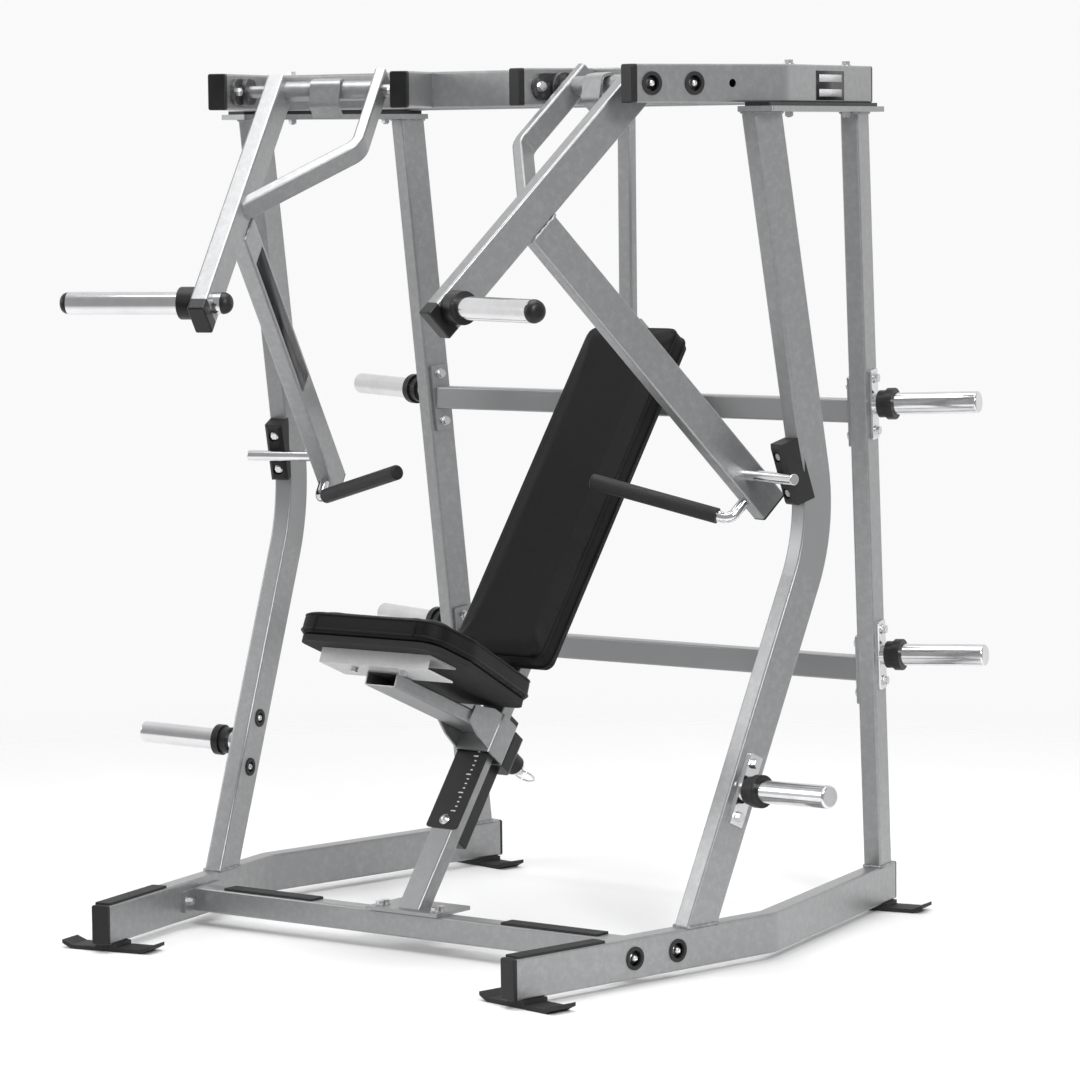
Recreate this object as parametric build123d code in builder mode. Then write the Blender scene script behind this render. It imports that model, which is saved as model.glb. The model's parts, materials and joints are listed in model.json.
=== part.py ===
"""Plate-loaded chest press: a splayed steel frame, two swinging press arms and a sliding seat."""

import os
from math import cos, radians, sin, tan

from build123d import *

os.makedirs("parts", exist_ok=True)

# Driving dimensions, mm. x = 0 is the mid-plane with the right arm at +x, y = 0 is at the rail fronts
# and z = 0 is the floor.
# save() moves every piece forward by middle_y, which puts the origin under the machine's middle.
middle_y = 729.7
wall = 3.0
corner = 5.0

splay = 11.0
tube = 43.0
rail_x = 588.0
rail_bottom = 18.0
rail_top = 106.0
bend_y = 745.0
rail_end_y = 1452.0
upright_d = 84.0
upright_top = (751.0, 1839.0)
upright_knee = (915.0, 939.0)
upright_foot = (527.0, 86.0)
rear_d = 71.0
rear_foot = (585.0, 1395.0, 106.0)
rear_head = (638.0, 1224.0, 1839.0)

plate_z = 1839.0
plate_t = 12.0
plate_w = 86.0
plate_ends = ((730.0, 686.0), (644.0, 1268.0))
shim_t = 8.0
beam_z = plate_z + plate_t + shim_t
beam_h = 82.0
beam_w = 42.0
beam_front = (573.0, 455.0)
beam_bend_y = 819.4
beam_bolts = ((699.0, 865.0), (656.0, 1161.0))
beam_rear = (643.1, 1250.0)
front_beam_y = 790.0
rear_beam_y = 1225.0
cross_w = 46.0

pivot_turn = 20.0
pivot_reach = 92.0
bearing_bolt = 55.0
bearing_t = 22.0
stub_s = 433.0
stub_length = 172.0

arm_s = 131.0
arm_w = 40.0
arm_d = 78.0
arm_drop = 43.8
arm_start = -14.0
arm_end = 722.0
arm_cap = 30.0
beam_cap = 14.0
horn_dome = 18.0
stub_dome = (20.0, 42.0)
horn_t = 668.0
horn_r = 25.0
horn_root_r = 24.0
horn_tip = -190.0
handle_drop = 46.1
handle_start = (254.0, -305.0)
handle_length = 857.0
pin_along = 757.0
pin_r = 12.5
pin_tip = -57.0
shaft_r = 14.0
running_gap = 0.06
pivot_tube_r = 22.0
brace_s = 371.0
brace_w = 26.0
brace_d = 50.0
brace_bend = 192.0
brace_foot = 400.0
grip_r = 17.5
bar_r = 12.5
bar_bend = (131.0, -236.0, -947.0)
grip_end = (390.0, -45.0, -868.0)

front_bar_y = (365.0, 415.0)
front_bar_z = (35.0, 90.0)
spine_lean = 37.7
spine_w = 60.0
spine_d = 40.0
base_t = 8.0
spine_front = (374.0, 90.0)
post_w = 38.0
post_d = 26.0
post_y = 1240.0
upper_bar_z = (1138.0, 1192.0)
lower_bar_z = (541.0, 597.0)
rear_bar_d = 44.0

back_w = 262.0
back_span = (627.0, 1540.0)
back_layers = (5.0, 11.0, 74.0)

seat_tilt = 22.5
seat_front = (252.0, 770.0)
seat_length = 497.0
seat_half_front = 200.0
seat_half_rear = 120.0
seat_foam = 58.0
seat_board = 14.0
channel_w = 300.0
channel_h = 34.0
channel_at = (62.0, 160.0)
seat_arm_w = 85.0
seat_arm_h = 34.0
seat_arm_at = 102.0
carriage_span = (412.0, 510.0)
carriage_w = 100.0
carriage_v = (-52.0, 14.0)
shell_t = 5.0
slide_gap = 0.5
rack_w = 30.0
rack_t = 48.0
rack_span = (212.0, 545.0)
housing_w = 80.0
housing_face = -104.0
scale_w = 88.0
scale_t = 2.5
pull_w = 467.0
pull_r = 8.0


def save(piece, name):
    """Centre a finished piece's depth on the machine, label it and write its STEP file."""
    piece.part = piece.part.moved(Location((0, -middle_y, 0)))
    piece.part.label = name
    export_step(piece.part, f"parts/{name}.step")


def save_pair(piece, name):
    """Write a right-hand piece and its mirror image."""
    with BuildPart() as twin:
        mirror(piece.part, about=Plane.YZ)
    save(piece, f"right_{name}")
    save(twin, f"left_{name}")


def straight_tube(start, end, across, width, depth, trims=(), solid=False):
    """A rectangular tube between two points; width lies along across, trims keep their normal's side."""
    run = Vector(*end) - Vector(*start)
    section = Plane(origin=start, x_dir=across, z_dir=run)
    with BuildPart() as piece:
        with BuildSketch(section):
            RectangleRounded(width, depth, corner)
            if not solid:
                RectangleRounded(width - 2 * wall, depth - 2 * wall, corner - wall, mode=Mode.SUBTRACT)
        extrude(amount=run.length)
        for trim in trims:
            split(bisect_by=trim, keep=Keep.TOP)
    return piece


def bent_tube(plane, points, radius, width, height, trims=(), solid=False):
    """A rectangular tube bent in a plane; its height runs along the plane's normal."""
    with BuildPart() as piece:
        with BuildLine(plane) as path:
            FilletPolyline(*points, radius=radius)
        with BuildSketch(Plane(origin=path.line @ 0, x_dir=plane.z_dir, z_dir=path.line % 0)):
            RectangleRounded(height, width, corner)
            if not solid:
                RectangleRounded(height - 2 * wall, width - 2 * wall, corner - wall, mode=Mode.SUBTRACT)
        sweep()
        for trim in trims:
            split(bisect_by=trim, keep=Keep.TOP)
    return piece


# ---- frames of reference
sa, ca = sin(radians(splay)), cos(radians(splay))
bend_x = rail_x + tan(radians(splay)) * bend_y
front_side = Plane(origin=(rail_x, 0, 0), x_dir=(sa, ca, 0), z_dir=(ca, -sa, 0))
rear_side = Plane(origin=(bend_x, bend_y, 0), x_dir=(-sa, ca, 0), z_dir=(ca, sa, 0))

sp, cp = sin(radians(pivot_turn)), cos(radians(pivot_turn))
inboard = Vector(-cp, sp, 0)
forward = Vector(-sp, -cp, 0)
up = Vector(0, 0, 1)


pivot = Vector(*beam_front, beam_z + beam_h / 2) - forward * pivot_reach - inboard * (beam_w / 2)


def arm_point(s, u=0.0, z=0.0):
    """A point of the right arm: s inboard from the beam's outer face, u forward and z up from the pivot."""
    return pivot + inboard * s + forward * u + up * z


def arm_plane(s, u=0.0, z=0.0):
    """The plane across the pivot axis at s; local x is forward, local y is up."""
    return Plane(origin=arm_point(s, u, z), x_dir=forward, z_dir=inboard)


down_arm = forward * cos(radians(arm_drop)) - up * sin(radians(arm_drop))
over_arm = forward * sin(radians(arm_drop)) + up * cos(radians(arm_drop))
down_handle = forward * -cos(radians(handle_drop)) - up * sin(radians(handle_drop))

floor_side = Plane(origin=(0, 0, rail_top), z_dir=(0, 0, 1))
under_plate = Plane(origin=(0, 0, plate_z), z_dir=(0, 0, -1))


def drilled(piece, holes):
    """Cut round holes, each given as a start point, a direction, a radius and a depth."""
    with BuildPart() as cut:
        add(piece.part)
        for start, way, radius, depth in holes:
            with BuildSketch(Plane(origin=start, z_dir=way)):
                Circle(radius)
            extrude(amount=depth, mode=Mode.SUBTRACT)
    return cut


def rod(start, end, radius, bore=0.0, rounding=0.0):
    """A round bar or ring between two points, with an optional bore and rounded far rim."""
    run = Vector(*end) - Vector(*start)
    with BuildPart() as piece:
        with BuildSketch(Plane(origin=start, z_dir=run)):
            Circle(radius)
        extrude(amount=run.length)
        if rounding:
            far = piece.faces().sort_by_distance(Vector(*end))[0]
            fillet(far.edges(), rounding)
        if bore:
            with BuildSketch(Plane(origin=start, z_dir=run)):
                Circle(bore)
            extrude(amount=run.length, mode=Mode.SUBTRACT)
    return piece


def plate(plane, width, height, thickness, rounding=4.0, edge=0.8):
    """A flat plate centred on a plane, with rounded corners and eased outer edges."""
    with BuildPart() as piece:
        with BuildSketch(plane):
            RectangleRounded(width, height, rounding)
        extrude(amount=thickness)
        if edge:
            far = piece.faces().sort_by(Axis((0, 0, 0), tuple(plane.z_dir)))[-1]
            fillet(far.edges(), edge)
    return piece


def bolt(face, out, grip, radius=6.0, nut=True, head=8.0):
    """A hex bolt with a washer: head on the face at the out side, shank of the given grip, nut behind."""
    with BuildPart() as piece:
        with BuildSketch(Plane(origin=face, z_dir=out)):
            Circle(radius * 2)
        extrude(amount=2)
        with BuildSketch(Plane(origin=face + out * 2, z_dir=out)):
            RegularPolygon(radius * 1.7, 6)
        extrude(amount=head)
        with BuildSketch(Plane(origin=face, z_dir=out)):
            Circle(radius)
        extrude(amount=-(grip + 2 * radius * nut))
        if nut:
            with BuildSketch(Plane(origin=face - out * grip, z_dir=-out)):
                RegularPolygon(radius * 1.7, 6)
            extrude(amount=radius * 1.6)
    return piece


def grommet(face, out, radius, hole):
    """A flanged rubber ring pressed into an access hole."""
    with BuildPart() as piece:
        with BuildSketch(Plane(origin=face, z_dir=out)):
            Circle(radius + 3)
        extrude(amount=2.5)
        with BuildSketch(Plane(origin=face, z_dir=out)):
            Circle(radius - 0.05)
        extrude(amount=-wall - 2)
        with BuildSketch(Plane(origin=face + out * 3, z_dir=out)):
            Circle(hole)
        extrude(amount=-wall - 7, mode=Mode.SUBTRACT)
    return piece


def gather(pieces, name, mirrored=True):
    """Write several pieces, and their mirror images, as one node."""
    with BuildPart() as group:
        for piece in pieces:
            add(piece.part)
        if mirrored:
            mirror(group.part, about=Plane.YZ)
    save(group, name)


def on_front(t, z, inward=0.0):
    """A point of the front upright's outer face plane, t rearwards along the rail."""
    return front_side.origin + front_side.x_dir * t - front_side.z_dir * inward + up * z


# ---- rails, their caps, pads and feet
rail_mid = (rail_bottom + rail_top) / 2
rail_h = rail_top - rail_bottom
rail_out = front_side.z_dir
rail_run = front_side.x_dir
rear_run = rear_side.x_dir
rail_tail = rail_end_y - bend_y
rail_nose = (rail_x - tube / 2 * ca, tube / 2 * sa)
rail_knee = (bend_x - tube / 2 / ca, bend_y)
rail_rear = (rail_knee[0] - tan(radians(splay)) * rail_tail, rail_end_y)
bar_mid_y = sum(front_bar_y) / 2
bar_mid_z = sum(front_bar_z) / 2
bar_t = bar_mid_y / ca
rail_bolt_t = (bar_t - 63, bar_t + 63)
access_r = 22.0
bolt_r = 6.0
clear_r = bolt_r + 0.5
end_plate_t = 8.0

rail = bent_tube(Plane.XY.offset(rail_mid), (rail_nose, rail_knee, rail_rear), 40, tube, rail_h)
rail_holes = []
rail_bolts = []
rail_rings = []
for t in rail_bolt_t:
    face = on_front(t, bar_mid_z)
    inner = on_front(t, bar_mid_z, tube - wall)
    rail_holes.append((face + rail_out, -rail_out, access_r, wall + 2))
    rail_holes.append((inner + rail_out, -rail_out, clear_r, wall + 2))
    rail_bolts.append(bolt(inner, rail_out, wall + end_plate_t, head=26))
    rail_rings.append(grommet(face, rail_out, access_r, access_r - 5))
save_pair(drilled(rail, rail_holes), "rail")

nose = Vector(*rail_nose, rail_mid)
tail = Vector(*rail_rear, rail_mid)
caps = [
    plate(Plane(origin=nose, x_dir=rail_out, z_dir=-rail_run), tube, rail_h, 9, corner, 3),
    plate(Plane(origin=tail, x_dir=rear_side.z_dir, z_dir=rear_run), tube, rail_h, 9, corner, 3),
]
gather(caps, "rail_end_caps")

pad_t = 5.0
rail_pad = on_front(128, rail_top, tube / 2)
bar_pad = Vector(395, bar_mid_y, front_bar_z[1])
step_pads = [
    plate(Plane(origin=rail_pad, x_dir=rail_run, z_dir=up), 250, tube - 4, pad_t, 4, 1.5),
    plate(Plane(origin=bar_pad, z_dir=up), 260, 44, pad_t, 4, 1.5),
]
gather(step_pads, "step_pads")


def foot(centre, across, run):
    """A rubber foot: a sole with upturned ends and a boss under the rail."""
    half = ((0, 0), (90, 0), (113, 11), (113, 19), (88, 9), (27, 9), (27, rail_bottom), (0, rail_bottom))
    with BuildPart() as piece:
        with BuildSketch(Plane(origin=centre - run * 32.5, x_dir=across, z_dir=run)):
            with BuildLine():
                Polyline(*half, close=True)
            make_face()
            mirror(about=Plane.YZ)
        extrude(amount=65)
    return piece


front_foot = on_front(46, 0, tube / 2)
rear_foot_at = Vector(*rail_rear, 0) - rear_run * 38
feet = [
    foot(front_foot, -rail_out, rail_run),
    foot(rear_foot_at, -rear_side.z_dir, rear_run),
]
gather(feet, "feet")

# ---- front crossbar with its end plates
bar_cut = Plane(origin=on_front(0, 0, tube + end_plate_t), z_dir=-rail_out)
bar_cut_left = Plane(origin=(-bar_cut.origin.X, bar_cut.origin.Y, 0), z_dir=(rail_out.X, -rail_out.Y, 0))
base_bolt_x = 78.0
base_bolt_y = (front_bar_y[0] + 15, front_bar_y[1] - 15)
bar_start = (-700, bar_mid_y, bar_mid_z)
bar_end = (700, bar_mid_y, bar_mid_z)
bar_trims = (bar_cut, bar_cut_left)
bar_w = front_bar_y[1] - front_bar_y[0]
bar_h = front_bar_z[1] - front_bar_z[0]
bar = straight_tube(bar_start, bar_end, (0, 1, 0), bar_w, bar_h, bar_trims)
end_plate_at = on_front(bar_t, bar_mid_z, tube)
end_plate = plate(Plane(origin=end_plate_at, x_dir=rail_run, z_dir=-rail_out), 166, 50, end_plate_t, 4, 0)
end_holes = []
for t in rail_bolt_t:
    end_holes.append((on_front(t, bar_mid_z, tube - 1), -rail_out, clear_r, end_plate_t + 2))
end_plate = drilled(end_plate, end_holes)
base_holes = []
for x in (-base_bolt_x, base_bolt_x):
    for y in base_bolt_y:
        base_holes.append((Vector(x, y, front_bar_z[1] + base_t + 1), -up, clear_r, base_t + wall + 3))
bar = drilled(bar, base_holes)
with BuildPart() as front_crossbar:
    add(end_plate.part)
    mirror(end_plate.part, about=Plane.YZ)
    add(bar.part)
save(front_crossbar, "front_crossbar")

# ---- uprights
mid_side = front_side.offset(-tube / 2)
knee_drop = (upright_knee[0] - upright_foot[0]) / (upright_knee[1] - upright_foot[1])
head_lean = (upright_knee[0] - upright_top[0]) / (upright_top[1] - upright_knee[1])
upright_path = (
    (upright_top[0] - head_lean * 25, upright_top[1] + 25),
    upright_knee,
    (upright_foot[0] - knee_drop * 30, upright_foot[1] - 30),
)
upright = bent_tube(mid_side, upright_path, 420, upright_d, tube, (floor_side, under_plate))
rear_lean = (Vector(*rear_head) - Vector(*rear_foot)).normalized()
rear_low = Vector(*rear_foot) - rear_lean * 40
rear_high = Vector(*rear_head) + rear_lean * 40
rear_out = Plane(origin=rear_low, x_dir=rear_side.z_dir, z_dir=rear_lean).x_dir
rear_tube = straight_tube(rear_low, rear_high, rear_side.z_dir, beam_w, rear_d, (floor_side, under_plate))


def on_rear(z, outward=0.0, back=0.0):
    """A point of the rear upright at a height, outward across it and back along its depth."""
    along = (z - rear_foot[2]) / rear_lean.Z
    depth = rear_lean.cross(rear_out)
    return Vector(*rear_foot) + rear_lean * along + rear_out * outward + depth * back


def leg_t(z):
    """Where the front upright's centre line stands along the rail at a height."""
    if z > upright_knee[1]:
        return upright_knee[0] - head_lean * (z - upright_knee[1])
    return upright_knee[0] - knee_drop * (upright_knee[1] - z)


# ---- storage horns: a bolted plate, a chrome horn and a black collar
horn_reach = 257.0
collar_near = 20.0
collar_step = 40.0
collar_far = 58.0
collar_r = 36.0
collar_neck_r = 31.0
horn_tilt = radians(2.5)
horn_plate_t = 8.0


def storage_horn(face, out, lean):
    """Horn, collar, bolts and bolt holes for one storage horn on an upright's outer face."""
    aim = out * cos(horn_tilt) + up * sin(horn_tilt)
    side = lean.cross(out)
    root = rod(face + aim * (horn_plate_t - 1), face + aim * (collar_far + 5), horn_root_r)
    horn = rod(face + aim * (collar_far + 0.3), face + aim * horn_reach, horn_r, 0, 5)
    backing = plate(Plane(origin=face, x_dir=side, z_dir=out), 40, 160, horn_plate_t, 4, 1)
    spots = [face + lean * 60, face - lean * 60]
    backing = drilled(backing, [(spot - out, out, clear_r, horn_plate_t + 2) for spot in spots])
    with BuildPart() as chrome:
        add(backing.part)
        add(root.part)
        add(horn.part)
    with BuildPart() as collar:
        add(rod(face + aim * collar_near, face + aim * collar_step, collar_neck_r, horn_root_r + 0.05).part)
        add(rod(face + aim * collar_step, face + aim * collar_far, collar_r, horn_root_r + 0.05, 2).part)
    bolts = [bolt(spot + out * horn_plate_t, out, horn_plate_t + wall) for spot in spots]
    holes = [(spot + out, -out, clear_r, wall + 2) for spot in spots]
    return chrome, collar, bolts, holes, spots


low_lean = (front_side.x_dir * knee_drop + up).normalized()
front_horn_z = 385.0
upper_horn_z = 1181.0
lower_horn_z = 603.0
front_horn = storage_horn(on_front(leg_t(front_horn_z), front_horn_z), rail_out, low_lean)
upper_horn = storage_horn(on_rear(upper_horn_z, beam_w / 2), rear_out, rear_lean)
lower_horn = storage_horn(on_rear(lower_horn_z, beam_w / 2), rear_out, rear_lean)
gather([front_horn[0], upper_horn[0], lower_horn[0]], "storage_horns")
gather([front_horn[1], upper_horn[1], lower_horn[1]], "storage_collars")

# ---- rear crossbars, bolted to the rear uprights' inner faces
upper_mid = sum(upper_bar_z) / 2
lower_mid = sum(lower_bar_z) / 2


def rear_bar_y(z):
    """Centre of a rear crossbar between the uprights."""
    return on_rear(z).Y - 4


def rear_bar(z, height):
    """A crossbar between the rear uprights with vertical end plates, and its bolts and holes."""
    inner = on_rear(z, -beam_w / 2)
    cut = inner - rear_out * end_plate_t
    centre_y = rear_bar_y(z)
    trim = Plane(origin=cut, z_dir=-rear_out)
    trim_left = Plane(origin=(-cut.X, cut.Y, cut.Z), z_dir=(rear_out.X, -rear_out.Y, -rear_out.Z))
    start = (-800, centre_y, z)
    end = (800, centre_y, z)
    tube_bar = straight_tube(start, end, (0, 1, 0), rear_bar_d, height, (trim, trim_left))
    spots = [inner + rear_lean * reach for reach in (-58, 58)]
    side = Plane(origin=inner, x_dir=rear_lean.cross(rear_out), z_dir=-rear_out)
    ends = plate(side, 52, 160, end_plate_t, 4, 0)
    ends = drilled(ends, [(spot + rear_out, -rear_out, clear_r, end_plate_t + 2) for spot in spots])
    with BuildPart() as joined:
        add(ends.part)
        mirror(ends.part, about=Plane.YZ)
        add(tube_bar.part)
    bolts = [bolt(spot - rear_out * end_plate_t, -rear_out, end_plate_t + wall) for spot in spots]
    holes = [(spot - rear_out, rear_out, clear_r, wall + 2) for spot in spots]
    return joined, bolts, holes


upper_bar, upper_bolts, upper_holes = rear_bar(upper_mid, upper_bar_z[1] - upper_bar_z[0])
lower_bar, lower_bolts, lower_holes = rear_bar(lower_mid, lower_bar_z[1] - lower_bar_z[0])
save(upper_bar, "upper_crossbar")
save(lower_bar, "lower_crossbar")
save_pair(drilled(rear_tube, upper_horn[3] + lower_horn[3] + upper_holes + lower_holes), "rear_upright")

# ---- top plates, shims and beams
through = [Vector(x, y, 0) for x, y in beam_bolts]
plate_front = Vector(*plate_ends[0], 0)
plate_rear = Vector(*plate_ends[1], 0)
plate_run = (plate_rear - plate_front).normalized()
plate_length = (plate_rear - plate_front).length
plate_mid = (plate_front + plate_rear) * 0.5
beam_top = beam_z + beam_h
grip_top = beam_h + shim_t + plate_t


def drop_holes(top, depth):
    """Vertical bolt holes down from a height."""
    return [(spot + up * top, -up, clear_r, depth) for spot in through]


plate_plane = Plane(origin=plate_mid + up * plate_z, x_dir=plate_run, z_dir=up)
shim_plane = Plane(origin=plate_mid + up * (plate_z + plate_t), x_dir=plate_run, z_dir=up)
top_plate = drilled(plate(plate_plane, plate_length, plate_w, plate_t, 5, 0), drop_holes(beam_z, 40))
shim = drilled(plate(shim_plane, plate_length - 20, 60, shim_t, 4, 0), drop_holes(beam_z + 1, 40))
gather([top_plate], "top_plates")
gather([shim], "beam_shims")

beam_mid = pivot.Z
beam_bend = (beam_front[0] + tan(radians(pivot_turn)) * (beam_bend_y - beam_front[1]), beam_bend_y)
outer_path = (beam_front, beam_bend, beam_rear)
outer_beam = bent_tube(Plane.XY.offset(beam_mid), outer_path, 24, beam_w, beam_h)
rest_hole_u = -155.0
beam_holes = drop_holes(beam_top + 1, beam_h + 2)
beam_holes.append((arm_point(-1, rest_hole_u), inboard, 9, wall + 2))
bearing_bolts = []
beam_rings = []
for u in (-bearing_bolt, bearing_bolt):
    beam_holes.append((arm_point(-1, u), inboard, access_r, wall + 2))
    beam_holes.append((arm_point(beam_w - wall - 1, u), inboard, clear_r, wall + 2))
    bearing_bolts.append(bolt(arm_point(beam_w - wall, u), -inboard, wall + 10, head=26))
    bearing_bolts.append(bolt(arm_point(stub_s - 10, u), -inboard, wall + 10))
    beam_rings.append(grommet(arm_point(0, u), -inboard, access_r, access_r - 5))
save_pair(drilled(outer_beam, beam_holes), "outer_beam")

stub_mid = stub_s + beam_w / 2
behind_bar = Plane(origin=(0, front_beam_y - cross_w / 2, 0), z_dir=(0, -1, 0))
stub_front = arm_point(stub_mid, pivot_reach)
stub = straight_tube(stub_front, arm_point(stub_mid, -300), inboard, beam_w, beam_h, (behind_bar,))
stub_holes = [(arm_point(stub_s - 1, u), inboard, clear_r, wall + 2) for u in (-bearing_bolt, bearing_bolt)]
gather([drilled(stub, stub_holes)], "inner_beams")


def beam_trims(face, normal):
    """Trim planes on the right and left beams' inner faces."""
    mirrored = Vector(-normal.X, normal.Y, 0)
    return Plane(origin=face, z_dir=normal), Plane(origin=(-face.X, face.Y, face.Z), z_dir=mirrored)


rear_turn = (Vector(*beam_rear, 0) - Vector(*beam_bend, 0)).normalized()
rear_inner = Vector(-rear_turn.Y, rear_turn.X, 0)
front_trims = beam_trims(arm_point(beam_w), inboard)
rear_trims = beam_trims(Vector(*beam_rear, 0) + rear_inner * (beam_w / 2), rear_inner)
front_bar_ends = ((-900, front_beam_y, beam_mid), (900, front_beam_y, beam_mid))
rear_bar_ends = ((-900, rear_beam_y, beam_mid), (900, rear_beam_y, beam_mid))
save(straight_tube(*front_bar_ends, (0, 1, 0), cross_w, beam_h, front_trims), "top_crossbeam")
save(straight_tube(*rear_bar_ends, (0, 1, 0), cross_w, beam_h, rear_trims), "rear_crossbeam")

outer_nose = Vector(*beam_front, beam_mid)
outer_tail = Vector(*beam_rear, beam_mid)
beam_caps = [
    plate(Plane(origin=outer_nose, x_dir=inboard, z_dir=forward), beam_w, beam_h, beam_cap, corner, 3),
    plate(Plane(origin=stub_front, x_dir=inboard, z_dir=forward), beam_w, beam_h, beam_cap, corner, 3),
    plate(Plane(origin=outer_tail, x_dir=rear_inner, z_dir=rear_turn), beam_w, beam_h, 9, corner, 3),
]
gather(beam_caps, "beam_end_caps")

# ---- front uprights with their stop blocks
access_spots = [spot - rail_out * tube for spot in front_horn[4]]
access_holes = [(spot - rail_out, rail_out, access_r - 4, wall + 2) for spot in access_spots]
upright_rings = [grommet(spot, -rail_out, access_r - 4, access_r - 10) for spot in access_spots]
save_pair(drilled(upright, front_horn[3] + access_holes), "front_upright")
full_upright = bent_tube(mid_side, upright_path, 420, upright_d, tube, (floor_side, under_plate), True)
pin_u = handle_start[0] - cos(radians(handle_drop)) * pin_along
pin_z = handle_start[1] - sin(radians(handle_drop)) * pin_along
pin_reach = (pin_u**2 + pin_z**2) ** 0.5
swing = forward * (-pin_z / pin_reach) + up * (pin_u / pin_reach)
block_s = -15.0
block_w = 42.0
block_face = arm_point(block_s, pin_u, pin_z) - swing * (pin_r + 0.3)
with BuildPart() as stop_block:
    with BuildSketch(Plane(origin=block_face, x_dir=swing, z_dir=inboard)):
        with Locations((-28, 0)):
            Rectangle(56, 140)
    extrude(amount=block_w)
    contact = stop_block.faces().sort_by(Axis((0, 0, 0), tuple(swing)))[-1]
    chamfer(contact.edges(), 8)
    add(full_upright.part, mode=Mode.SUBTRACT)
block_axis = block_face + inboard * (block_w / 2)
block_rise = inboard.cross(swing)
block_spots = [block_axis + block_rise * reach for reach in (-42, 42)]
recess = 6.0
block_bolts = [bolt(spot - swing * (recess + 4), swing, 19, 5, False, 5) for spot in block_spots]
block_holes = []
for spot in block_spots:
    block_holes.append((spot + swing, -swing, 12, recess + 5))
    block_holes.append((spot, -swing, 5.5, 60))
gather([drilled(stop_block, block_holes)], "stop_blocks")

# ---- pivot bearings on the beams
bearings = []
for face, out in ((arm_point(beam_w), inboard), (arm_point(stub_s), -inboard)):
    with BuildPart() as bearing:
        with BuildSketch(Plane(origin=face, x_dir=forward, z_dir=out)):
            RectangleRounded(150, 58, 28)
        extrude(amount=10)
        with BuildSketch(Plane(origin=face, z_dir=out)):
            Circle(32)
        extrude(amount=bearing_t)
        fillet(bearing.faces().sort_by(Axis((0, 0, 0), tuple(out)))[-1].edges(), 3)
        with BuildSketch(Plane(origin=face, z_dir=out)):
            Circle(shaft_r + running_gap)
        extrude(amount=bearing_t, mode=Mode.SUBTRACT)
        for u in (-bearing_bolt, bearing_bolt):
            with BuildSketch(Plane(origin=face + forward * u, z_dir=out)):
                Circle(clear_r)
            extrude(amount=bearing_t, mode=Mode.SUBTRACT)
    bearings.append(bearing)
gather(bearings, "flange_bearings")

# ---- right press arm
arm_near = arm_s - arm_w / 2
arm_far = arm_s + arm_w / 2
shaft_ends = (beam_w + 1, stub_s - 1)
tube_end = brace_s - brace_w / 2
pivot_bar = rod(arm_point(shaft_ends[0]), arm_point(shaft_ends[1]), shaft_r)
pivot_sleeve = rod(arm_point(arm_far), arm_point(tube_end), pivot_tube_r)
tab_s = (arm_far + tube_end) / 2
with BuildPart() as pivot_tube:
    add(pivot_bar.part)
    add(pivot_sleeve.part)
    with BuildSketch(arm_plane(tab_s - 35)):
        with BuildLine():
            tab_line = FilletPolyline((2, 25), (30, 20), (38, -32), (12, -58), radius=14)
        trace(line_width=6)
    extrude(amount=70)
save_pair(pivot_tube, "pivot_tube")

arm_low = pivot + inboard * arm_s + down_arm * arm_start
arm_high = pivot + inboard * arm_s + down_arm * (arm_end - arm_cap)
arm_tube = straight_tube(arm_low, arm_high, inboard, arm_w, arm_d)
main_arm = drilled(arm_tube, [(arm_point(arm_near - 1), inboard, shaft_r + 0.05, arm_w + 2)])
save_pair(main_arm, "main_arm")

under_arm = Plane(origin=arm_point(arm_s) - over_arm * (arm_d / 2), z_dir=-over_arm)
handle_from = arm_point(arm_s, *handle_start)
handle_to = handle_from + down_handle * handle_length
handle_tube = straight_tube(
    handle_from - down_handle * 60, handle_to, inboard, arm_w, arm_d, (under_arm,)
)
save_pair(handle_tube, "handle_arm")

brace_side = Plane(origin=pivot, x_dir=down_arm, z_dir=down_arm.cross(inboard))
brace_path = ((-45, brace_s), (brace_bend, brace_s), (brace_foot, brace_s - (brace_foot - brace_bend) * 1.21))
arm_face = Plane(origin=arm_point(arm_far), z_dir=inboard)
brace_tube = bent_tube(brace_side, brace_path, 45, brace_w, brace_d, (arm_face,))
brace = drilled(brace_tube, [(arm_point(brace_s - 20), inboard, shaft_r + 0.05, 40)])
save_pair(brace, "brace")

horn_at = pivot + down_arm * horn_t
pin_at = arm_point(0, pin_u, pin_z)
inner_horn = horn_at + inboard * arm_near
horn_end = horn_at + inboard * horn_tip
stub_end = horn_at + inboard * (arm_far + stub_dome[0])
with BuildPart() as chrome_pins:
    add(rod(inner_horn, inner_horn - inboard * 60, horn_root_r).part)
    add(rod(inner_horn - inboard * 38.3, horn_end, horn_r).part)
    add(rod(horn_at + inboard * arm_far, stub_end, horn_root_r).part)
    add(rod(pin_at + inboard * arm_near, pin_at + inboard * pin_tip, pin_r, 0, 2).part)
save_pair(chrome_pins, "chrome_pins")

trim_parts = [
    rod(inner_horn, inner_horn - inboard * 38, collar_r, horn_root_r + 0.05, 3),
    rod(horn_end, horn_end - inboard * horn_dome, horn_root_r, 0, 16),
    rod(stub_end, horn_at + inboard * (arm_far + stub_dome[1]), horn_root_r, 0, 20),
    plate(Plane(origin=arm_high, x_dir=inboard, z_dir=down_arm), arm_w, arm_d, arm_cap, corner, 4),
    plate(Plane(origin=handle_to, x_dir=inboard, z_dir=down_handle), arm_w, arm_d, 5, corner, 2),
]
with BuildPart() as arm_trim:
    for piece in trim_parts:
        add(piece.part)
save_pair(arm_trim, "arm_trim")

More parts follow.
